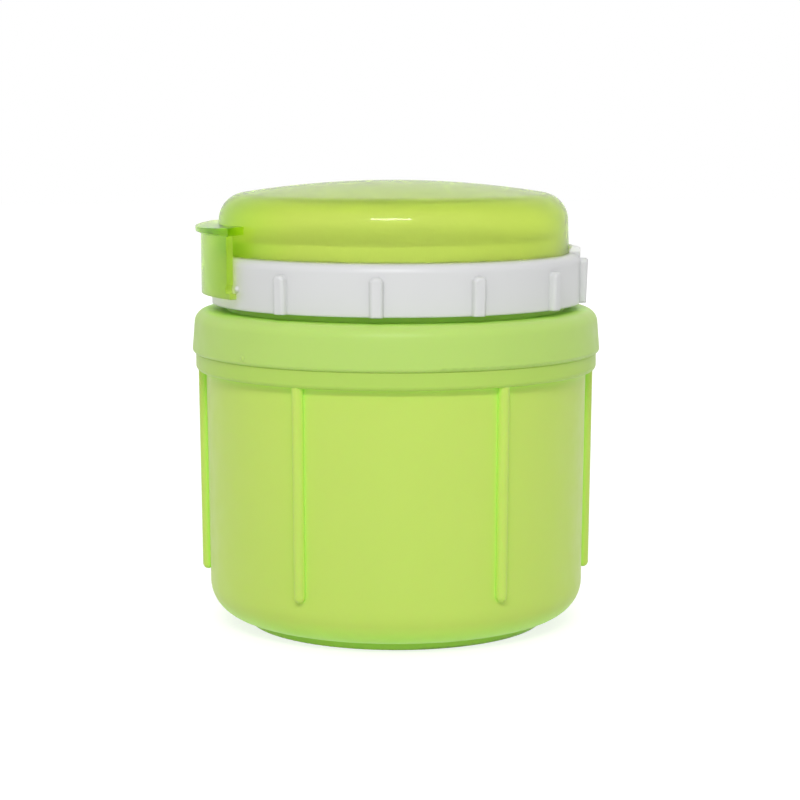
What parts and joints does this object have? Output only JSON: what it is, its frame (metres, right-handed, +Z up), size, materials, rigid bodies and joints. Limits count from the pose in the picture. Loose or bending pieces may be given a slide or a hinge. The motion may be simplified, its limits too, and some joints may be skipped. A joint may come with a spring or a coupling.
{
  "type": "insulated food jar",
  "caption": "Round insulated food jar with a ribbed body, a screw lid with grip ribs, a loose stopper and a latched, translucent flip cover over a tray.",
  "frame": {"origin": "centre of the underside of the foot ring", "axes": "+Z up the jar's axis, +X towards the cover's hinge, -X towards the latch"},
  "size_m": [0.1248, 0.1248, 0.1357],
  "materials": {
    "lime_plastic": "satin moulded lime plastic",
    "white_plastic": "smooth moulded white plastic",
    "lime_translucent": "glossy translucent lime plastic",
    "steel": "brushed stainless steel",
    "pin_steel": "drawn steel wire",
    "silicone": "soft silicone",
    "foam": "rigid cellular foam"
  },
  "bodies": {
    "jar": {"outer_shell": "lime_plastic", "neck_collar": "lime_plastic", "inner_bowl": "steel", "body_foam": "foam"},
    "stopper": {"inner_lid_cup": "white_plastic", "inner_lid_top": "white_plastic", "inner_lid_foam": "foam", "lid_gasket": "silicone"},
    "screw_lid": {"screw_lid": "white_plastic", "hinge_pin": "pin_steel"},
    "flip_cover": {"flip_cover": "lime_translucent"}
  },
  "joints": [
    {"name": "lid_lift", "type": "slide", "parent": "jar", "child": "stopper", "axis": [0, 0, 1], "range_m": [0, 0.06]},
    {"name": "lid_turn", "type": "hinge", "parent": "stopper", "child": "screw_lid", "pos_m": [0, 0, 0.1117], "axis": [0, 0, 1], "range_deg": [0, 450]},
    {"name": "cover_hinge", "type": "hinge", "parent": "screw_lid", "child": "flip_cover", "pos_m": [0.05265, 0, 0.1142], "axis": [0, 1, 0], "range_deg": [0, 110]}
  ]
}
